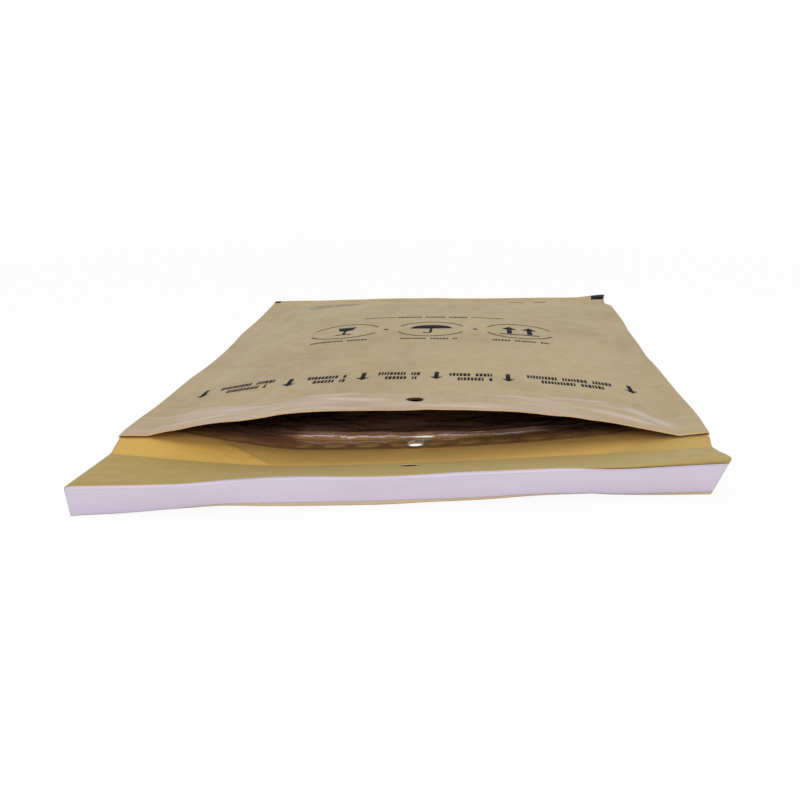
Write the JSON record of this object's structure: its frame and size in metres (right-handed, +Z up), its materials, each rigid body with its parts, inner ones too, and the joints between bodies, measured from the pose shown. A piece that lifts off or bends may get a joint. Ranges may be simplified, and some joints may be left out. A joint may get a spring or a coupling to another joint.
{
  "type": "padded envelope",
  "caption": "Open self-seal padded envelope: folded kraft paper with a bubble film lining, a creased flap and a release liner strip.",
  "frame": {"origin": "middle of the underside, on the table that the envelope lies on", "axes": "+Y from the mouth to the far edge, +Z up, +X to the right seen from the mouth"},
  "size_m": [0.2, 0.3227, 0.0217],
  "materials": {
    "kraft_paper": "calendered brown kraft with a faint sheen",
    "bubble_film": "clear glossy film",
    "adhesive": "tacky hot-melt",
    "release_paper": "smooth coated pale lilac paper"
  },
  "bodies": {
    "root": {"kraft_envelope": "kraft_paper", "bubble_lining": "bubble_film", "adhesive_strip": "adhesive", "release_liner": "release_paper"}
  },
  "joints": []
}
